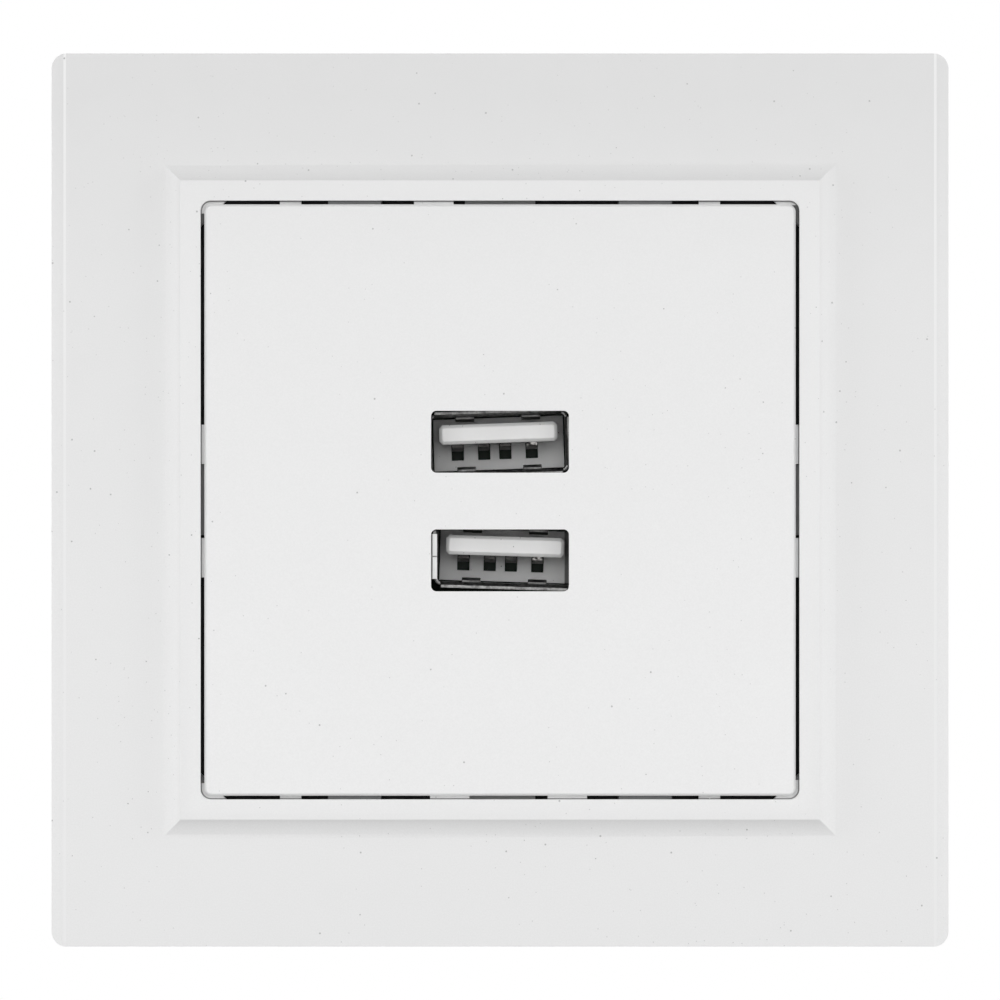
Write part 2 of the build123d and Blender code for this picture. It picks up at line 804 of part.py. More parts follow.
with BuildPart() as transformer_winding:
    with BuildSketch(level(bobbin_start + bobbin_flange)):
        with Locations(core_place):
            RectangleRounded(bobbin_width - 2 * slip, bobbin_span - 2 * clear, bobbin_wall)
            Rectangle(core_leg + tube_wall, core_thick + tube_wall, mode=Mode.SUBTRACT)
    extrude(amount=bobbin_length - 2 * bobbin_flange)
finish(transformer_winding, "transformer_winding")


def upright_can(label, place, radius, height):
    """Sleeved can or coil on the main board, with a rolled upper edge."""
    with BuildPart() as can:
        with BuildSketch(level(main_board_level)):
            with Locations(place):
                Circle(radius)
        extrude(amount=height)
        chamfer(can.faces().sort_by(Axis.Y)[0].edges(), can_chamfer)
    finish(can, label)


upright_can("input_capacitor", (right_row, input_cap_z), input_cap_radius, input_cap_height)
upright_can("output_capacitor", (right_row, output_cap_z), output_cap_radius, output_cap_height)
upright_can("choke", (right_row, choke_z), choke_radius, choke_height)

with BuildPart() as suppression_capacitor:
    with BuildSketch(level(main_board_level + clear)):
        with Locations((film_cap_x, bottom_row)):
            Rectangle(film_cap_width, film_cap_length)
    extrude(amount=film_cap_height)
    with BuildSketch(level(main_board_level)):
        with Locations((film_cap_x, bottom_row)):
            with GridLocations(0, film_cap_length / 2, 1, 2):
                Rectangle(lead_width, lead_width)
    extrude(amount=clear)
finish(suppression_capacitor, "suppression_capacitor")

with BuildPart() as fuse:
    fuse_level = main_board_level + fuse_radius + clear
    fuse_span = fuse_length + 4 * fuse_radius
    with BuildSketch(side(fuse_x)):
        with Locations((top_row, fuse_level)):
            Circle(fuse_radius)
    extrude(amount=fuse_length / 2, both=True)
    with BuildSketch(side(fuse_x)):
        with Locations((top_row, fuse_level)):
            Rectangle(lead_width, lead_width)
    extrude(amount=fuse_span / 2, both=True)
    with BuildSketch(level(main_board_level)):
        with Locations(fuse_place):
            with GridLocations(fuse_span - lead_width, 0, 2, 1):
                Rectangle(lead_width, lead_width)
    extrude(amount=fuse_radius + clear)
finish(fuse, "fuse")


def chip(label, place, size, legs, board_level, toward):
    """Moulded chip with bent legs on its upper and lower sides, standing off its board."""
    length, width, height = size
    half = width / 2
    bend = half + chip_leg_reach / 3
    foot = half + chip_leg_reach
    middle = board_level + toward * height / 2
    thick = toward * chip_leg_thick
    with BuildPart() as package:
        with BuildSketch(level(board_level + toward * slip)):
            with Locations(place):
                Rectangle(length, width)
        extrude(amount=toward * (height - slip))
        for leg in range(legs):
            leg_x = place[0] + (leg - (legs - 1) / 2) * length / legs
            with BuildSketch(side(leg_x, place[1])):
                with BuildLine():
                    Polyline(
                        (half - slip, middle),
                        (bend, middle),
                        (bend, board_level),
                        (foot, board_level),
                        (foot, board_level + thick),
                        (bend + chip_leg_thick, board_level + thick),
                        (bend + chip_leg_thick, middle + thick),
                        (half - slip, middle + thick),
                        close=True,
                    )
                make_face()
                mirror(about=Plane.YZ)
            extrude(amount=chip_leg_width / 2, both=True)
    finish(package, label)


port_chip_z = port_chip_inset - port_board_height / 2
chip("rectifier", (bridge_x, top_row), bridge_size, bridge_legs, main_board_level, 1)
chip("switcher_chip", (switcher_x, bottom_row), switcher_size, switcher_legs, main_board_level, 1)
chip("port_chip", (port_chip_x, port_chip_z), port_chip_size, port_chip_legs, board_back, -1)

# Pin link between the two boards
link_height = link_pitch * link_pins_count

with BuildPart() as link_strip:
    with BuildSketch(level(main_board_level)):
        with Locations(link_place):
            Rectangle(link_strip_thick, link_height)
            with GridLocations(0, link_pitch, 1, link_pins_count):
                Rectangle(link_pin_width, link_pin_width, mode=Mode.SUBTRACT)
    extrude(amount=link_strip_thick)
finish(link_strip, "link_strip")

with BuildPart() as link_pins:
    with BuildSketch(level(main_board_back - pin_exit)):
        with Locations(link_place):
            with GridLocations(0, link_pitch, 1, link_pins_count):
                Rectangle(link_pin_width, link_pin_width)
    extrude(amount=board_front - main_board_back + 2 * pin_exit)
finish(link_pins, "link_pins")

# Mains terminals: a moulded block, and in each pole a screw, its rising clamp and a contact bar
with BuildPart() as terminal_block:
    with BuildSketch(level(block_back)):
        with Locations((0, block_middle)):
            Rectangle(block_width, block_height)
    extrude(amount=block_depth)
    with BuildSketch(plan(cage_floor)):
        with Locations((0, clamp_level)):
            with GridLocations(pole_pitch, 0, 2, 1):
                Rectangle(clamp_width + 2 * clear, clamp_depth + 2 * clear)
    extrude(amount=cage_floor - cage_roof, mode=Mode.SUBTRACT)
    with BuildSketch(plan(cage_roof)):
        with Locations((0, clamp_level)):
            with GridLocations(pole_pitch, 0, 2, 1):
                Circle(terminal_screw_radius + clear)
    extrude(amount=-shoulder, mode=Mode.SUBTRACT)
    with BuildSketch(plan(cage_roof + shoulder)):
        with Locations((0, clamp_level)):
            with GridLocations(pole_pitch, 0, 2, 1):
                Circle(terminal_head_radius + clear)
    extrude(amount=-terminal_well, mode=Mode.SUBTRACT)
    with BuildSketch(level(block_back)):
        with Locations((0, bar_top - bar_thick - wire_hole_height / 2)):
            with GridLocations(pole_pitch, 0, 2, 1):
                Rectangle(clamp_width - 2 * clamp_wall, wire_hole_height)
    extrude(amount=block_back_wall, mode=Mode.SUBTRACT)
    with BuildSketch(level(clamp_level)):
        with Locations((0, bar_top - bar_thick / 2)):
            with GridLocations(pole_pitch, 0, 2, 1):
                Rectangle(bar_width + 2 * slip, bar_thick + 2 * slip)
    extrude(amount=main_board_back - clamp_level, mode=Mode.SUBTRACT)
finish(terminal_block, "terminal_block")

with BuildPart() as terminal_bars:
    bar_start = block_back + block_back_wall + bar_end_gap
    with BuildSketch(level(bar_start)):
        with Locations((0, bar_top - bar_thick / 2)):
            with GridLocations(pole_pitch, 0, 2, 1):
                Rectangle(bar_width, bar_thick)
    extrude(amount=main_board_level + pin_exit - bar_start)
finish(terminal_bars, "terminal_bars")

for pole_name, pole_x in pole_places.items():
    with BuildPart() as terminal_clamp:
        with BuildSketch(level(clamp_level - clamp_depth / 2)):
            with Locations((pole_x, clamp_bottom + clamp_height / 2)):
                Rectangle(clamp_width, clamp_height)
            with Locations((pole_x, clamp_bottom + clamp_wall + clamp_opening / 2)):
                Rectangle(clamp_width - 2 * clamp_wall, clamp_opening, mode=Mode.SUBTRACT)
        extrude(amount=clamp_depth)
        with BuildSketch(plan(clamp_bottom + clamp_height)):
            with Locations((pole_x, clamp_level)):
                Circle(terminal_screw_radius + slip)
        extrude(amount=clamp_top, mode=Mode.SUBTRACT)
    finish(terminal_clamp, f"{pole_name}_terminal_clamp")

    with BuildPart() as terminal_screw:
        with BuildSketch(plan(cage_roof + shoulder)):
            with Locations((pole_x, clamp_level)):
                Circle(terminal_head_radius)
        extrude(amount=-terminal_head_height)
        with BuildSketch(plan(cage_roof + shoulder)):
            with Locations((pole_x, clamp_level)):
                Circle(terminal_screw_radius)
        extrude(amount=cage_roof + shoulder - bar_top - clear)
        with BuildSketch(plan(cage_roof + shoulder + terminal_head_height)):
            with Locations((pole_x, clamp_level)):
                Rectangle(3 * terminal_head_radius, driver_slot)
        extrude(amount=driver_slot_depth, mode=Mode.SUBTRACT)
    finish(terminal_screw, f"{pole_name}_terminal_screw")

# Wall-box claws: a forked claw rides each barrel nut, which its long screw draws forward
claw_nut_level = cover_back - claw_nut_gap
foot_back = claw_nut_level + claw_nut_radius + slip
arm_outer = claw_arm_offset + claw_thick
lip_end = arm_outer + claw_lip
tooth_pitch = claw_width / claw_tooth_count

for hand_name, hand in (("left", -1), ("right", 1)):
    screw_x = hand * claw_screw_place
    with BuildPart() as claw:
        with BuildSketch(plan()):
            with BuildLine():
                Polyline(
                    (screw_x + hand * claw_arm_offset, foot_back),
                    (screw_x + hand * claw_arm_offset, claw_front_level),
                    (screw_x + hand * lip_end, claw_front_level),
                    (screw_x + hand * lip_end, claw_front_level - claw_thick),
                    (screw_x + hand * arm_outer, claw_front_level - claw_thick),
                    (screw_x + hand * arm_outer, foot_back),
                    close=True,
                )
            make_face()
        extrude(amount=claw_width / 2, both=True)
        with BuildSketch(level(foot_back)):
            foot_length = claw_foot_reach + arm_outer
            with Locations((screw_x + hand * (arm_outer - foot_length / 2), 0)):
                Rectangle(foot_length, claw_foot_width)
            with Locations((screw_x, 0)):
                Circle(claw_screw_radius + clear, mode=Mode.SUBTRACT)
            with Locations((screw_x - hand * claw_foot_reach / 2, 0)):
                Rectangle(claw_foot_reach, 2 * (claw_screw_radius + clear), mode=Mode.SUBTRACT)
        extrude(amount=claw_thick)
        with BuildSketch(level(claw_front_level - claw_thick)):
            with Locations((screw_x + hand * lip_end, 0)):
                with GridLocations(0, tooth_pitch, 1, claw_tooth_count - 1):
                    Rectangle(claw_tooth_depth, claw_tooth_depth, rotation=45)
        extrude(amount=claw_thick, mode=Mode.SUBTRACT)
    finish(claw, f"{hand_name}_claw")

    with BuildPart() as claw_nut:
        with BuildSketch(plan()):
            with Locations((screw_x, claw_nut_level)):
                Circle(claw_nut_radius)
        extrude(amount=claw_nut_length / 2, both=True)
        with BuildSketch(level(claw_nut_level)):
            with Locations((screw_x, 0)):
                Circle(claw_screw_radius + slip)
        extrude(amount=claw_nut_radius, both=True, mode=Mode.SUBTRACT)
    finish(claw_nut, f"{hand_name}_claw_nut")

    with BuildPart() as claw_screw:
        with BuildSketch(level(steel_thick)):
            with Locations((screw_x, 0)):
                Circle(claw_head_radius)
        extrude(amount=claw_head_height)
        with BuildSketch(level(steel_thick + claw_head_height)):
            with Locations((screw_x, 0)):
                Rectangle(claw_head_radius, driver_slot)
                Rectangle(driver_slot, claw_head_radius)
        extrude(amount=-driver_slot_depth, mode=Mode.SUBTRACT)
        with BuildSketch(level(steel_thick)):
            with Locations((screw_x, 0)):
                Circle(claw_screw_radius)
        extrude(amount=claw_nut_level - claw_screw_end - steel_thick)
    finish(claw_screw, f"{hand_name}_claw_screw")
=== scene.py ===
"""Looks of the usb wall socket: finishes, softened edges, threads, studio light and camera.

Lengths are metres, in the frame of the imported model: the wall is y = 0, the front faces -Y, +Z is up.
"""
import json
import math

import bmesh
import bpy
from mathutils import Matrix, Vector


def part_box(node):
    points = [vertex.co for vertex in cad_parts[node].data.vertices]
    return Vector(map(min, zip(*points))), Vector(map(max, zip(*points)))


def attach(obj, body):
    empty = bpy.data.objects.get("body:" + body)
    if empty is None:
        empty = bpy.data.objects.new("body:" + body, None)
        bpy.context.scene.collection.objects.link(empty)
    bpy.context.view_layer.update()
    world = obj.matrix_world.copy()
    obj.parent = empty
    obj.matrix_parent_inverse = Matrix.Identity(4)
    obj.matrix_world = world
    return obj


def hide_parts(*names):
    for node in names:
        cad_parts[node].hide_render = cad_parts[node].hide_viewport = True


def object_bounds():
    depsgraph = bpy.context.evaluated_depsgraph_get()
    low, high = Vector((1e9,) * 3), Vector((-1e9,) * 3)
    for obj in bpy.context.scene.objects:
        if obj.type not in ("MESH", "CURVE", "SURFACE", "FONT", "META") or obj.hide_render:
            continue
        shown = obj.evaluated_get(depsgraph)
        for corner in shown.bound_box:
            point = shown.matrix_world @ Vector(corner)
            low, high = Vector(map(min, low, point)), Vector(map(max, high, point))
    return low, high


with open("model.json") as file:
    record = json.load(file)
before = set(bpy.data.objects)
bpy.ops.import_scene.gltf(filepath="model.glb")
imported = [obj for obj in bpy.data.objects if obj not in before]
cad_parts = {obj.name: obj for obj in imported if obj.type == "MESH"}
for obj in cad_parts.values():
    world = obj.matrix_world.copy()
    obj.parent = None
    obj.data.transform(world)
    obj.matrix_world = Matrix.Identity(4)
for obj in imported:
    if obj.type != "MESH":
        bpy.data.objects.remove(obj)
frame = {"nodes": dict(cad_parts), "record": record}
cad_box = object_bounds()
nodes = frame["nodes"]
MM = 0.001
HANDS = {"left": -1, "right": 1}

# The photograph's framing: its width on the plane of the cover frame's front, and a long lens
VIEW_WIDTH = 93.5 * MM
CAMERA_DISTANCE = 0.95
SENSOR_WIDTH = 36.0

# Studio: each soft box has a place, a width and height, and a power; the side ones stand at both hands
SIDE_LAMPS = {
    "grazing_lamp": ((0.32, -0.085, 0.07), (0.08, 0.30), 0.27),
    "lamp": ((0.50, -0.50, 0.16), (0.3, 0.5), 0.9),
    "front_lamp": ((0.55, -1.15, 0.24), (0.4, 0.6), 1.1),
    "rear_lamp": ((0.50, 0.50, 0.25), (0.3, 0.4), 2.2),
}
FRONT_LAMP = ((0.0, -1.30, 0.16), (0.5, 0.5), 2.85)
SKY_STRENGTH = 0.29

# The floor and the white that the camera and reflections see behind the socket
FLOOR_DROP = 0.6
FLOOR_SIZE = 6.0
FLOOR_COLOUR = (0.80, 0.80, 0.80)
BACKDROP_COLOUR = (1.0, 1.0, 1.0, 1.0)
BACKDROP_STRENGTH = 1.0

# Meshes: points closer than this are one point, and faces flatter than this are one face
WELD_DISTANCE = 1e-6
FLAT_ANGLE = math.radians(0.4)

# Edges sharper than the first angle are rounded; edges under the second are shaded smooth
BEVEL_ANGLE = math.radians(20)
SMOOTH_ANGLE = math.radians(32)

# How far crisp edges are rounded: large pieces, those of each port, small pieces and those at each hand
LARGE_EDGES = {
    "cover_frame": 0.09 * MM,
    "centre_plate": 0.08 * MM,
    "support_frame": 0.12 * MM,
    "housing": 0.2 * MM,
    "rear_cover": 0.2 * MM,
    "terminal_block": 0.18 * MM,
}
PORT_EDGES = {"usb_shell": 0.05 * MM, "usb_insulator": 0.06 * MM}
SMALL_PIECES = ("housing_screws", "terminal_bars", "link_strip")
SMALL_EDGE = 0.08 * MM
HAND_EDGES = {"claw": 0.18 * MM, "claw_nut": 0.12 * MM, "terminal_clamp": 0.1 * MM}

# Steps in a rounded edge; the cover frame's long edges lie nearest the eye and have more
EDGE_STEPS = 2
COVER_STEPS = 3

# Each screw's direction from head to tip, head height, shank radius, pitch and edge rounding
HAND_SCREWS = {
    "claw_screw": ((0, 1, 0), 2.0 * MM, 1.5 * MM, 0.5 * MM, 0.1 * MM),
    "terminal_screw": ((0, 0, -1), 1.6 * MM, 1.3 * MM, 0.45 * MM, 0.08 * MM),
}

# Threads: depth as a share of the pitch, facets to a turn, and turns left bare along the shank
THREAD_DEPTH = 0.58
THREAD_STEPS = 20
BARE_TURNS = 1.5

# A thread's ridge: its foot as a share of the core's radius, its crest and end as shares of the pitch
RIDGE_FOOT = 0.97
RIDGE_CREST = (0.42, 0.54)
RIDGE_END = 0.96

# Painted shade: the white turns greyer from foot to top, where less light falls: shares of this reach up and
# down, and factors on the colour
PAINTED_SHADING_REACH = 42.0 * MM
WHITE_PAINTED_SHADING = ((0.05, 1.075), (0.3, 1.07), (0.75, 1.005), (0.95, 0.925))

# The seam: half the opening, its corner radius, the ledges' level, which are painted lighter, and the crease
# between ledge and wall, painted with shade
SEAM_WALL = 28.0 * MM
SEAM_CORNER = 0.95 * MM
LEDGE_Y = -9.38 * MM
LEDGE_BAND = 0.2 * MM
CREASE = 0.12 * MM
CREASE_PAINTED_SHADE = 0.7

# The corner ledges' upright arms are painted with shadow between these heights, each at the seam's left and
# right
ARM_START = 20.0 * MM
ARM_TOPS = (26.8 * MM, 27.6 * MM)
ARM_FEET = (-26.5 * MM, -26.2 * MM)
ARM_PAINTED_SHADOW = 0.98

# Hidden walls: the rim's inner wall and the plate's legs are painted with shade within this reach and this
# run along Y
HIDDEN_REACH = 29.2 * MM
HIDDEN_RUN = (-9.5 * MM, 0.5 * MM)
HIDDEN_PAINTED_SHADE = ((0.02, 0.0), (0.06, 0.45), (0.15, 0.5), (0.22, 0.95), (0.85, 0.95), (0.92, 0.0))

# The rim's front runs from the opening to here and is painted a little paler, as painted light
RIM_EDGE = 29.9 * MM
RIM_PAINTED_LIGHT = 0.22

# The cover frame's edge facets start at a fine painted highlight line
FACET_HIGHLIGHT = 40.75 * MM
FACET_HIGHLIGHT_REACH = 0.12 * MM

# Dust gathers at the foot of the rim's cove
COVE_FOOT = 31.75 * MM
COVE_FOOT_REACH = 1.5 * MM

# Port insulators: shares of this run along Y and factors on the colour, with painted light on the back wall
# and painted shade in the holes
PORT_RUN = (-6.0 * MM, 4.0 * MM)
PORT_PAINTED_LIGHT_AND_SHADE = ((0.0, 1.0), (0.5, 1.2), (0.585, 1.2), (0.6, 0.04))

# Their back walls lie past this share of the run, and are painted with shade to the left, by a run along X
BACK_WALL = 0.4
WALL_SHADE = (-6.0 * MM, 1.5 * MM)
WALL_DARK = 0.42

# The lower port sits to the right in its cut-out, and its insulator is painted with shadow past here
PORT_SHADOW = (6.06 * MM, 6.14 * MM)
SHADOW_DARK = 0.95

# Steel in the seam and the ports is painted with shade along Y: start, end, how dark, and the length of the
# fade
SEAM_STEEL_SHADE = (-9.72 * MM, -0.5 * MM, 0.95)
SHELL_STEEL_SHADE = (-7.6 * MM, 20.0 * MM, 0.4)
STEEL_FADE = 0.8 * MM

# The fourth contact of each port has painted glints in patches: where they start along X, and how much paler
# they are
CONTACT_GLINTS = (2.2 * MM, 8.0)


# Materials

# A mix node has sockets for numbers, vectors and colours; these are the places of its colours and its result
MIX_COLOURS = (6, 7)
MIX_RESULT = 2


class Shader:
    """A material with one Principled shader and short ways to add nodes to it."""

    def __init__(self, name):
        self.material = bpy.data.materials.new(name)
        self.material.use_nodes = True
        self.tree = self.material.node_tree
        self.surface = self.tree.nodes["Principled BSDF"]
        self.place = self.add("ShaderNodeTexCoord").outputs["Object"]
        split = self.add("ShaderNodeSeparateXYZ")
        self.join(self.place, split.inputs["Vector"])
        self.axis = split.outputs

    def add(self, kind, **settings):
        node = self.tree.nodes.new(kind)
        for key, value in settings.items():
            setattr(node, key, value)
        return node

    def join(self, output, target):
        self.tree.links.new(output, target)

    def constants(self, **values):
        for key, value in values.items():
            self.surface.inputs[key.replace("_", " ")].default_value = value

    def noise(self, scale, detail=3.0, roughness=0.5, stretch=None):
        """Noise over the object, with scale in waves to a metre; stretch squeezes it along some axes."""
        place = self.place
        if stretch:
            mapping = self.add("ShaderNodeMapping")
            mapping.inputs["Scale"].default_value = stretch
            self.join(place, mapping.inputs["Vector"])
            place = mapping.outputs["Vector"]
        node = self.add("ShaderNodeTexNoise")
        node.inputs["Scale"].default_value = scale
        node.inputs["Detail"].default_value = detail
        node.inputs["Roughness"].default_value = roughness
        self.join(place, node.inputs["Vector"])
        return node.outputs["Fac"]

    def bands(self, direction, scale, distortion):
        """Soft parallel bands along one axis of the object."""
        node = self.add("ShaderNodeTexWave", wave_type="BANDS", bands_direction=direction)
        node.inputs["Scale"].default_value = scale
        node.inputs["Distortion"].default_value = distortion
        self.join(self.place, node.inputs["Vector"])
        return node.outputs["Fac"]

    def spots(self, cell, radius, share):
        """Sparse round spots, in a share of the cells: 1 inside a spot and 0 outside."""
        cells = self.add("ShaderNodeTexVoronoi")
        cells.inputs["Scale"].default_value = 1.0 / cell
        self.join(self.place, cells.inputs["Vector"])
        near = self.math("LESS_THAN", cells.outputs["Distance"], radius / cell)
        pick = self.add("ShaderNodeSeparateColor")
        self.join(cells.outputs["Color"], pick.inputs["Color"])
        return self.product(near, self.math("LESS_THAN", pick.outputs["Red"], share))

    def math(self, operation, *values):
        node = self.add("ShaderNodeMath", operation=operation)
        for socket, value in zip(node.inputs, values):
            if isinstance(value, (int, float)):
                socket.default_value = value
            else:
                self.join(value, socket)
        return node.outputs["Value"]

    def product(self, *factors):
        result = factors[0]
        for factor in factors[1:]:
            result = self.math("MULTIPLY", result, factor)
        return result

    def graded(self, factor, colour, stops):
        """Colour that changes along a factor; each stop is a place and a factor on the colour."""
        node = self.add("ShaderNodeValToRGB")
        elements = node.color_ramp.elements
        while len(elements) < len(stops):
            elements.new(0.5)
        for element, (place, strength) in zip(elements, stops):
            element.position = place
            element.color = (*scaled(colour, strength), 1.0)
        self.join(factor, node.inputs["Fac"])
        return node.outputs["Color"]

    def mix(self, factor, first, second):
        """Blend of two colours, the second where the factor is 1."""
        node = self.add("ShaderNodeMix", data_type="RGBA")
        self.join(factor, node.inputs["Factor"])
        for place, value in zip(MIX_COLOURS, (first, second)):
            if isinstance(value, tuple):
                node.inputs[place].default_value = (*value, 1.0)
            else:
                self.join(value, node.inputs[place])
        return node.outputs[MIX_RESULT]

    def range(self, factor, low, high, start=0.0, end=1.0):
        """Number that runs from low to high as a factor runs from start to end."""
        node = self.add("ShaderNodeMapRange")
        node.inputs["From Min"].default_value = start
        node.inputs["From Max"].default_value = end
        node.inputs["To Min"].default_value = low
        node.inputs["To Max"].default_value = high
        self.join(factor, node.inputs["Value"])
        return node.outputs["Result"]

    def clouded(self, body, colour, scale, share, strength, detail=3.0):
        """Body colour under noise that mixes in up to a share of another strength of the colour."""
        veil = self.range(self.noise(scale, detail=detail), 0.0, share)
        return self.mix(veil, body, scaled(colour, strength))

    def colour(self, output):
        self.join(output, self.surface.inputs["Base Color"])

    def rough(self, output):
        self.join(output, self.surface.inputs["Roughness"])

    def bump(self, height, depth, strength):
        node = self.add("ShaderNodeBump")
        node.inputs["Strength"].default_value = strength
        node.inputs["Distance"].default_value = depth
        self.join(height, node.inputs["Height"])
        self.join(node.outputs["Normal"], self.surface.inputs["Normal"])


def scaled(colour, factor):
    return tuple(min(1.0, channel * factor) for channel in colour)


def wall_gap(shader, across, up):
    """Distance inward from the rim's inner wall, seen from the front; the wall's corners are round."""
    flat = SEAM_WALL - SEAM_CORNER
    past_x = shader.math("MAXIMUM", shader.math("SUBTRACT", across, flat), 0.0)
    past_z = shader.math("MAXIMUM", shader.math("SUBTRACT", up, flat), 0.0)
    square = shader.math("ADD", shader.product(past_x, past_x), shader.product(past_z, past_z))
    return shader.math("SUBTRACT", SEAM_CORNER, shader.math("SQRT", square))


def seam_painted_light_and_shade(shader, body, across, up, painted_light, painted_shade):
    """Body colour with painted light on the seam's ledges, and painted shade in its creases, corner arms and
    hidden walls.
    """
    gap = wall_gap(shader, across, up)
    # Painted light: the ledges in the seam are painted paler
    ledge = shader.product(
        shader.math("COMPARE", shader.axis["Y"], LEDGE_Y, LEDGE_BAND),
        shader.math("GREATER_THAN", gap, -CREASE),
    )
    # Painted shade in the crease between ledge and wall
    crease = shader.math("LESS_THAN", gap, CREASE)
    # Painted shadow on the corner ledges' upright arms
    arm_top = shader.range(shader.axis["X"], *ARM_TOPS, -SEAM_WALL, SEAM_WALL)
    arm_foot = shader.range(shader.axis["X"], *ARM_FEET, -SEAM_WALL, SEAM_WALL)
    arm = shader.product(
        shader.math("GREATER_THAN", across, SEAM_WALL - SEAM_CORNER),
        shader.math("GREATER_THAN", up, ARM_START),
        shader.math("LESS_THAN", shader.axis["Z"], arm_top),
        shader.math("GREATER_THAN", shader.axis["Z"], arm_foot),
    )
    lines = shader.math("MAXIMUM", shader.product(crease, CREASE_PAINTED_SHADE), shader.product(arm, ARM_PAINTED_SHADOW))
    # Painted shade on the hidden walls behind the seam
    depth = shader.range(shader.axis["Y"], 0.0, 1.0, *HIDDEN_RUN)
    walls = shader.product(
        shader.graded(depth, (1.0, 1.0, 1.0), HIDDEN_PAINTED_SHADE),
        shader.math("LESS_THAN", shader.math("MAXIMUM", across, up), HIDDEN_REACH),
    )
    shade = shader.math("MAXIMUM", walls, shader.product(lines, ledge))
    return shader.mix(shade, shader.mix(ledge, body, painted_light), painted_shade)


def white_plastic(name, colour, roughness, specks):
    """Satin moulded white: faint mottle, fine moulded grain, dust specks; painted shade toward its top and
    in the seam, painted light on the rim, ledges and facet line.
    """
    shader = Shader(name)
    shader.constants(IOR=1.49)
    across = shader.math("ABSOLUTE", shader.axis["X"])
    up = shader.math("ABSOLUTE", shader.axis["Z"])
    reach = shader.math("MAXIMUM", across, up)
    # Painted shade: greyer toward the top and lighter toward the foot, as light falls
    height = shader.range(shader.axis["Z"], 0.0, 1.0, -PAINTED_SHADING_REACH, PAINTED_SHADING_REACH)
    body = shader.graded(height, colour, WHITE_PAINTED_SHADING)
    body = shader.clouded(body, colour, scale=70.0, share=0.12, strength=0.9)
    body = shader.clouded(body, colour, scale=7000.0, share=0.38, strength=0.85, detail=1.0)
    # Painted light: the rim's front is painted paler
    rim = shader.math("COMPARE", reach, (RIM_EDGE + SEAM_WALL) / 2, (RIM_EDGE - SEAM_WALL) / 2)
    body = shader.mix(shader.product(rim, RIM_PAINTED_LIGHT), body, scaled(colour, 1.2))
    # Painted highlight: a fine pale line where the edge facets start
    facet_highlight = shader.math("COMPARE", across, FACET_HIGHLIGHT, FACET_HIGHLIGHT_REACH)
    body = shader.mix(facet_highlight, body, scaled(colour, 1.05))
    # Painted light on the seam's ledges; painted shade in its creases, corner arms and hidden walls
    body = seam_painted_light_and_shade(shader, body, across, up, painted_light=scaled(colour, 1.08), painted_shade=scaled(colour, 0.05))
    dust = shader.range(shader.noise(60.0, detail=1.0), 0.0, 2.0 * specks, 0.3, 0.7)
    foot = shader.math("COMPARE", reach, COVE_FOOT, COVE_FOOT_REACH)
    dust = shader.math("MULTIPLY_ADD", dust, foot, dust)
    fine = shader.spots(cell=0.75 * MM, radius=0.055 * MM, share=dust)
    coarse = shader.spots(cell=1.7 * MM, radius=0.09 * MM, share=dust)
    body = shader.mix(fine, body, scaled(colour, 0.78))
    shader.colour(shader.mix(coarse, body, scaled(colour, 0.62)))
    shader.rough(shader.range(shader.noise(300.0), roughness - 0.04, roughness + 0.05))
    shader.bump(shader.noise(5200.0, detail=2.0), depth=0.012 * MM, strength=0.35)
    return shader.material


def moulded_surface(shader, roughness):
    """Plain moulding: slightly uneven gloss and a fine grain."""
    shader.constants(IOR=1.5)
    shader.rough(shader.range(shader.noise(500.0), roughness - 0.07, roughness + 0.07))
    shader.bump(shader.noise(2600.0, detail=2.0), depth=0.02 * MM, strength=0.4)


def moulded(name, colour, roughness):
    """Moulded plastic or dipped coating, slightly uneven in colour."""
    shader = Shader(name)
    tint = shader.graded(shader.noise(120.0), colour, ((0.3, 0.97), (0.7, 1.02)))
    shader.colour(shader.clouded(tint, colour, scale=5000.0, share=0.12, strength=0.75, detail=1.0))
    moulded_surface(shader, roughness)
    return shader.material


def tongue_plastic(name, colour, roughness):
    """Moulded insulator with dust: painted light on its deep back wall, painted shade to its left, in its
    holes and in the lower port's right corner.
    """
    shader = Shader(name)
    # Painted light on the deep back wall and painted shade in the holes behind it
    depth = shader.range(shader.axis["Y"], 0.0, 1.0, *PORT_RUN)
    body = shader.graded(depth, colour, PORT_PAINTED_LIGHT_AND_SHADE)
    # Painted shade on the back wall's left
    left = shader.range(shader.axis["X"], WALL_DARK, 0.0, *WALL_SHADE)
    deep = shader.math("GREATER_THAN", depth, BACK_WALL)
    body = shader.mix(shader.product(left, deep), body, scaled(colour, 0.5))
    # Painted shadow past the lower port's right edge
    shadow = shader.range(shader.axis["X"], 0.0, SHADOW_DARK, *PORT_SHADOW)
    body = shader.mix(shadow, body, scaled(colour, 0.03))
    body = shader.clouded(body, colour, scale=900.0, share=0.12, strength=0.7)
    dust = shader.spots(cell=0.6 * MM, radius=0.06 * MM, share=0.5)
    shader.colour(shader.mix(dust, body, scaled(colour, 0.45)))
    moulded_surface(shader, roughness)
    return shader.material


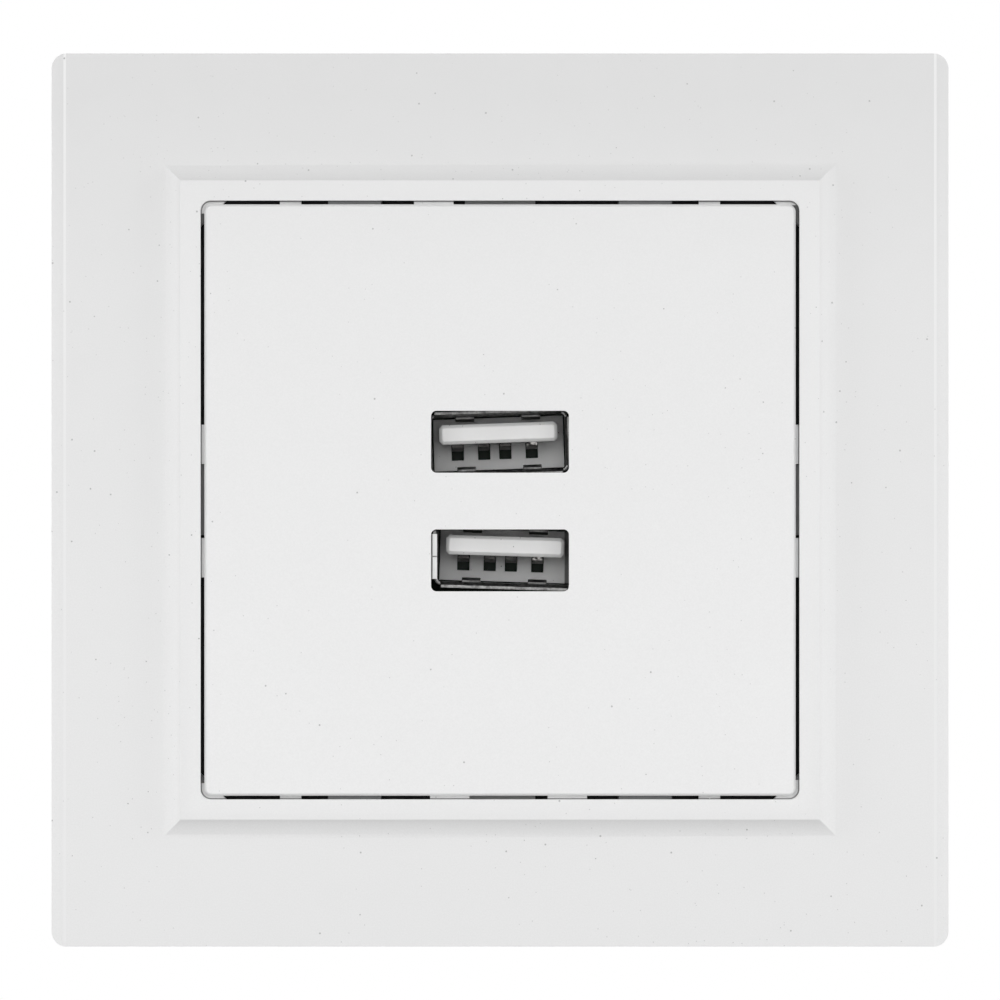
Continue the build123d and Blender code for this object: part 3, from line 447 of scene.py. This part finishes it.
def plated(
    name, colour, roughness, stretch=(1.0, 1.0, 0.08), patches=160.0, dull=0.8, shaded=None, painted_glints=None
):
    """Plated sheet metal: rolled streaks and dull patches.

    Shaded is a run along Y painted with shade: its start, its end and how dark it is. The painted glints
    are a place along X past which patches are painted paler, and how much paler they are.
    """
    shader = Shader(name)
    shader.constants(Metallic=1.0)
    streak = shader.noise(900.0, detail=4.0, stretch=stretch)
    patch = shader.noise(patches, detail=4.0, roughness=0.6)
    body = shader.graded(patch, colour, ((0.3, dull), (0.65, 1.0)))
    body = shader.mix(shader.range(streak, 0.0, 0.25), body, scaled(colour, 1.15))
    # Painted shade along a run of Y
    if shaded:
        start, end, amount = shaded
        fade = shader.range(shader.axis["Y"], 0.0, amount, start, start + STEEL_FADE)
        front = shader.math("LESS_THAN", shader.axis["Y"], end)
        body = shader.mix(shader.product(fade, front), body, scaled(colour, 0.05))
    # Painted glints: patches painted paler past a place along X
    if painted_glints:
        start, paler = painted_glints
        past = shader.math("GREATER_THAN", shader.axis["X"], start)
        glint = shader.product(past, shader.range(patch, 0.0, 1.0, 0.42, 0.58))
        body = shader.mix(glint, body, scaled(colour, paler))
    shader.colour(body)
    shader.rough(shader.range(patch, roughness - 0.06, roughness + 0.1))
    shader.bump(streak, depth=0.01 * MM, strength=0.3)
    return shader.material


def laminate(name, colour):
    """Green solder mask, dulled by flux, with the weave of the glass cloth under it."""
    shader = Shader(name)
    shader.constants(IOR=1.5, Specular_IOR_Level=0.1)
    weave = shader.bands("X", scale=420.0, distortion=1.5)
    tint = shader.graded(shader.noise(180.0), colour, ((0.35, 0.8), (0.65, 1.2)))
    shader.colour(shader.mix(shader.range(weave, 0.0, 0.15), tint, scaled(colour, 1.6)))
    shader.rough(shader.range(shader.noise(600.0), 0.28, 0.42))
    shader.bump(weave, depth=0.01 * MM, strength=0.3)
    return shader.material


def fired(name, colour):
    """Ferrite: dull grey-black with pores."""
    shader = Shader(name)
    pores = shader.noise(1500.0, detail=5.0, roughness=0.7)
    shader.colour(shader.graded(pores, colour, ((0.35, 0.6), (0.7, 1.5))))
    shader.rough(shader.range(pores, 0.75, 0.5))
    shader.bump(pores, depth=0.03 * MM, strength=0.5)
    return shader.material


def wound(name, colour):
    """Polyester tape over wire: glossy, with the turns showing through."""
    shader = Shader(name)
    turns = shader.bands("Y", scale=700.0, distortion=0.6)
    shader.colour(shader.graded(turns, colour, ((0.2, 0.75), (0.8, 1.0))))
    shader.rough(shader.range(shader.noise(400.0), 0.2, 0.35))
    shader.bump(turns, depth=0.03 * MM, strength=0.4)
    return shader.material


WHITE = (0.80, 0.80, 0.80)
slot_materials = {
    "frame_white": white_plastic("frame_white", WHITE, 0.44, specks=0.5),
    "plate_white": white_plastic("plate_white", scaled(WHITE, 1.05), 0.42, specks=0.3),
    "insulator_white": tongue_plastic("insulator_white", (0.80, 0.80, 0.795), 0.4),
    "body_grey": moulded("body_grey", (0.70, 0.70, 0.69), 0.48),
    "block_grey": moulded("block_grey", (0.20, 0.205, 0.21), 0.5),
    # Zinc steel with painted shade deep in the seam
    "zinc_steel": plated(
        "zinc_steel", (0.38, 0.385, 0.39), 0.42, stretch=(0.08, 1.0, 1.0), patches=420.0, dull=0.88,
        shaded=SEAM_STEEL_SHADE
    ),
    # Painted shade: the shell's tin is painted far darker than tin, in dark patches, for the dim ports
    "tinned_steel": plated(
        "tinned_steel", (0.22, 0.22, 0.218), 0.38, patches=2600.0, dull=0.12, shaded=SHELL_STEEL_SHADE
    ),
    "claw_steel": plated("claw_steel", (0.64, 0.62, 0.56), 0.36),
    "screw_steel": plated("screw_steel", (0.62, 0.61, 0.58), 0.32),
    # Painted shade: the contacts are painted near black for the dark holes they sit in, with painted glints
    # on the fourth
    "contact_metal": plated(
        "contact_metal", (0.038, 0.037, 0.036), 0.4, patches=2200.0, dull=0.04, painted_glints=CONTACT_GLINTS
    ),
    "pin_tin": plated("pin_tin", (0.72, 0.70, 0.66), 0.3),
    "board_green": laminate("board_green", (0.006, 0.020, 0.010)),
    "ferrite": fired("ferrite", (0.035, 0.035, 0.038)),
    "drum_black": moulded("drum_black", (0.02, 0.02, 0.02), 0.35),
    "bobbin_black": moulded("bobbin_black", (0.02, 0.02, 0.02), 0.5),
    "winding_tape": wound("winding_tape", (0.62, 0.40, 0.03)),
    "can_sleeve": moulded("can_sleeve", (0.03, 0.035, 0.07), 0.3),
    "film_blue": moulded("film_blue", (0.03, 0.10, 0.32), 0.45),
    "fuse_coat": moulded("fuse_coat", (0.22, 0.34, 0.22), 0.4),
    "chip_black": moulded("chip_black", (0.015, 0.015, 0.016), 0.5),
    "link_black": moulded("link_black", (0.015, 0.015, 0.015), 0.5),
}
node_slots = {entry["node"]: entry["material_slot"] for entry in frame["record"]["subparts"]}
node_bodies = {
    node: body for body, members in frame["record"]["behaviour"]["bodies"].items() for node in members
}


# Pieces

def finish_mesh(bm, name, material):
    """Turn a bmesh into a smooth-shaded object with crisp flats."""
    mesh = bpy.data.meshes.new(name)
    bm.to_mesh(mesh)
    bm.free()
    mesh.shade_smooth()
    mesh.set_sharp_from_angle(angle=SMOOTH_ANGLE)
    mesh.materials.append(material)
    piece = bpy.data.objects.new(name, mesh)
    bpy.context.scene.collection.objects.link(piece)
    weighted = piece.modifiers.new("even_normals", "WEIGHTED_NORMAL")
    weighted.keep_sharp = True
    return piece


def solid_copy(node_name):
    """Welded copy of a solid's mesh with its flat faces whole."""
    bm = bmesh.new()
    bm.from_mesh(nodes[node_name].data)
    bmesh.ops.remove_doubles(bm, verts=bm.verts, dist=WELD_DISTANCE)
    bmesh.ops.dissolve_limit(bm, angle_limit=FLAT_ANGLE, verts=bm.verts, edges=bm.edges)
    return bm


def round_edges(bm, bevel, steps=EDGE_STEPS):
    """Round every crisp edge by the same amount."""
    crisp = [e for e in bm.edges if len(e.link_faces) == 2 and e.calc_face_angle() > BEVEL_ANGLE]
    bmesh.ops.bevel(
        bm, geom=crisp, offset=bevel, segments=steps, profile=0.5, affect="EDGES", clamp_overlap=True
    )


def stand_in(bm, node_name):
    """Finished piece that takes a solid's place, on its body and in its material slot."""
    piece = finish_mesh(bm, f"{node_name}_soft", slot_materials[node_slots[node_name]])
    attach(piece, node_bodies[node_name])
    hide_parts(node_name)


def soften(node_name, bevel, steps=EDGE_STEPS):
    """Stand-in for a solid with the same faces and softened edges."""
    bm = solid_copy(node_name)
    round_edges(bm, bevel, steps)
    stand_in(bm, node_name)


def add_tube(bm, rings):
    """Closed tube through rings of points, with a flat cap at each end."""
    loops = [[bm.verts.new(point) for point in ring] for ring in rings]
    for first, second in zip(loops, loops[1:]):
        for here in range(len(first)):
            ahead = (here + 1) % len(first)
            bm.faces.new((first[here], first[ahead], second[ahead], second[here]))
    bm.faces.new(reversed(loops[0]))
    bm.faces.new(loops[-1])


def thread_screw(node_name, along, head, radius, pitch, bevel):
    """Stand-in for a plain screw: its own head, and a threaded shank whose crests keep the plain radius."""
    low, high = (Vector(corner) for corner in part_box(node_name))
    length = abs((high - low).dot(along))
    base = (low + high) / 2 - along * length / 2
    neck = head + bevel
    across = along.orthogonal().normalized()
    third = along.cross(across)
    core = radius - THREAD_DEPTH * pitch
    foot = core * RIDGE_FOOT
    bm = solid_copy(node_name)
    cut = bmesh.ops.bisect_plane(
        bm, geom=bm.verts[:] + bm.edges[:] + bm.faces[:], dist=WELD_DISTANCE,
        plane_co=base + along * neck, plane_no=along, clear_outer=True
    )
    rim = [e for e in cut["geom_cut"] if isinstance(e, bmesh.types.BMEdge)]
    bmesh.ops.contextual_create(bm, geom=rim)
    round_edges(bm, bevel)

    def at(turn, height, reach):
        angle = 2 * math.pi * turn
        return base + along * height + (across * math.cos(angle) + third * math.sin(angle)) * reach

    add_tube(bm, [
        [at(step / THREAD_STEPS, height, reach) for step in range(THREAD_STEPS)]
        for height, reach in ((neck - bevel, core), (length - pitch / 2, core), (length, core - pitch / 2))
    ])
    count = int(((length - neck) / pitch - BARE_TURNS) * THREAD_STEPS)
    ridge = []
    for step in range(count + 1):
        turn = step / THREAD_STEPS
        height = neck + pitch * turn
        swell = min(1.0, turn, (count - step) / THREAD_STEPS)
        crest = core + (radius - core) * swell
        profile = ((0.0, foot), (RIDGE_CREST[0], crest), (RIDGE_CREST[1], crest), (RIDGE_END, foot))
        ridge.append([at(turn, height + pitch * rise, reach) for rise, reach in profile])
    add_tube(bm, ridge)
    bmesh.ops.recalc_face_normals(bm, faces=bm.faces)
    stand_in(bm, node_name)


for node_name, node in nodes.items():
    node.data.materials.clear()
    node.data.materials.append(slot_materials[node_slots[node_name]])

for node_name, bevel in LARGE_EDGES.items():
    soften(node_name, bevel, COVER_STEPS if node_name == "cover_frame" else EDGE_STEPS)
for port in ("upper", "lower"):
    for kind, bevel in PORT_EDGES.items():
        soften(f"{port}_{kind}", bevel)
for node_name in SMALL_PIECES:
    soften(node_name, SMALL_EDGE)
for hand in HANDS:
    for kind, bevel in HAND_EDGES.items():
        soften(f"{hand}_{kind}", bevel)
    for kind, (along, *sizes) in HAND_SCREWS.items():
        thread_screw(f"{hand}_{kind}", Vector(along), *sizes)


# Stage, light and camera

def seen_directly(tree):
    """Factor that is 1 for rays from the camera, from mirrors and from glass."""
    path = tree.nodes.new("ShaderNodeLightPath")
    seen = path.outputs["Is Camera Ray"]
    for name in ("Is Glossy Ray", "Is Transmission Ray"):
        either = tree.nodes.new("ShaderNodeMath")
        either.operation = "MAXIMUM"
        tree.links.new(seen, either.inputs[0])
        tree.links.new(path.outputs[name], either.inputs[1])
        seen = either.outputs["Value"]
    return seen


def add_backdrop(tree, kind, lit, output):
    """White for rays that see a surface or the world directly, and its lit look for all others."""
    white = tree.nodes.new(kind)
    white.inputs["Color"].default_value = BACKDROP_COLOUR
    white.inputs["Strength"].default_value = BACKDROP_STRENGTH
    mixer = tree.nodes.new("ShaderNodeMixShader")
    tree.links.new(seen_directly(tree), mixer.inputs["Fac"])
    tree.links.new(lit, mixer.inputs[1])
    tree.links.new(white.outputs[0], mixer.inputs[2])
    tree.links.new(mixer.outputs["Shader"], tree.nodes[output].inputs["Surface"])


def make_floor():
    """Plain pale floor, well under the socket, which hangs on its wall mount."""
    mesh = bpy.data.meshes.new("floor")
    half = FLOOR_SIZE / 2
    low = cad_box[0][2] - FLOOR_DROP
    corners = [(-half, -half, low), (half, -half, low), (half, half, low), (-half, half, low)]
    mesh.from_pydata(corners, [], [(0, 1, 2, 3)])
    floor = bpy.data.objects.new("floor", mesh)
    bpy.context.scene.collection.objects.link(floor)
    shader = Shader("floor")
    shader.constants(Roughness=0.9)
    shader.colour(shader.graded(shader.noise(3.0), FLOOR_COLOUR, ((0.3, 1.0), (0.7, 1.025))))
    add_backdrop(shader.tree, "ShaderNodeEmission", shader.surface.outputs["BSDF"], "Material Output")
    mesh.materials.append(shader.material)


def make_world():
    """White to the camera and to reflections, a plain soft fill to everything else."""
    world = bpy.data.worlds.new("studio")
    bpy.context.scene.world = world
    world.use_nodes = True
    fill = world.node_tree.nodes["Background"]
    fill.inputs["Color"].default_value = BACKDROP_COLOUR
    fill.inputs["Strength"].default_value = SKY_STRENGTH
    add_backdrop(world.node_tree, "ShaderNodeBackground", fill.outputs["Background"], "World Output")


def add_lamp(name, place, size, power):
    """Soft box aimed at the middle of the socket."""
    lamp = bpy.data.lights.new(name, "AREA")
    lamp.shape = "RECTANGLE"
    lamp.size, lamp.size_y = size
    lamp.energy = power
    holder = bpy.data.objects.new(name, lamp)
    holder.location = place
    holder.rotation_euler = (-Vector(place)).to_track_quat("-Z", "Y").to_euler()
    holder.visible_camera = False
    bpy.context.scene.collection.objects.link(holder)


def make_camera():
    """Straight-on long lens, framed as the photograph is."""
    camera = bpy.data.cameras.new("camera")
    camera.sensor_width = SENSOR_WIDTH
    front = cad_box[0][1]
    camera.lens = SENSOR_WIDTH * CAMERA_DISTANCE / VIEW_WIDTH
    holder = bpy.data.objects.new("camera", camera)
    holder.location = (0.0, front - CAMERA_DISTANCE, 0.0)
    holder.rotation_euler = (math.pi / 2, 0.0, 0.0)
    bpy.context.scene.collection.objects.link(holder)
    bpy.context.scene.camera = holder


make_floor()
make_world()
for lamp_name, ((right, forward, height), size, power) in SIDE_LAMPS.items():
    for hand, side in HANDS.items():
        add_lamp(f"{hand}_{lamp_name}", (side * right, forward, height), size, power)
add_lamp("front_lamp", *FRONT_LAMP)
make_camera()
bpy.context.scene.view_settings.view_transform = "Standard"

bpy.context.view_layer.update()
